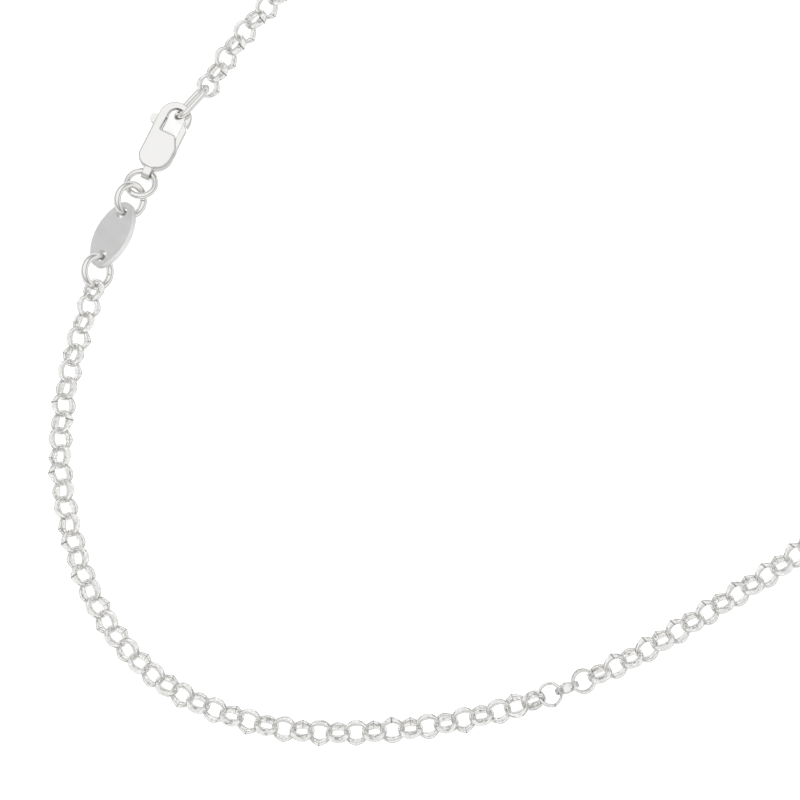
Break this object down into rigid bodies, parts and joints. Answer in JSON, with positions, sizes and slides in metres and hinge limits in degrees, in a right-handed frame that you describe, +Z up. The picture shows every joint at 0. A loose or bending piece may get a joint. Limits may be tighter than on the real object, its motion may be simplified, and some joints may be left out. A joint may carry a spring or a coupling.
{
  "type": "chain necklace",
  "caption": "Rolo chain necklace of round links laid flat as a closed loop, with a lever clasp, jump rings and a plain oval tag.",
  "frame": {"origin": "middle of the loop's bounding box, on the surface that the necklace lies on", "axes": "+Z up from the surface, +Y towards the top of the picture, +X towards its right"},
  "size_m": [0.1588, 0.1581, 0.0048],
  "materials": {
    "polished_silver": "polished sterling silver",
    "satin_silver": "satin brushed sterling silver"
  },
  "bodies": {
    "necklace": {"clasp_body": "polished_silver", "clasp_pin": "polished_silver", "clasp_ring": "polished_silver", "tag_ring": "polished_silver", "chain_ring": "polished_silver", "rolo_chain": "polished_silver", "end_ring": "polished_silver", "tag": "satin_silver"},
    "lever": {"clasp_lever": "polished_silver"}
  },
  "joints": [
    {"name": "lever_hinge", "type": "hinge", "parent": "necklace", "child": "lever", "pos_m": [-0.06035, 0.02183, 0.00172], "axis": [-0.0225, -0.0472, 0.9986], "range_deg": [0, 25], "stiffness_Nm_per_rad": 0.008, "springref_deg": -11.46}
  ]
}
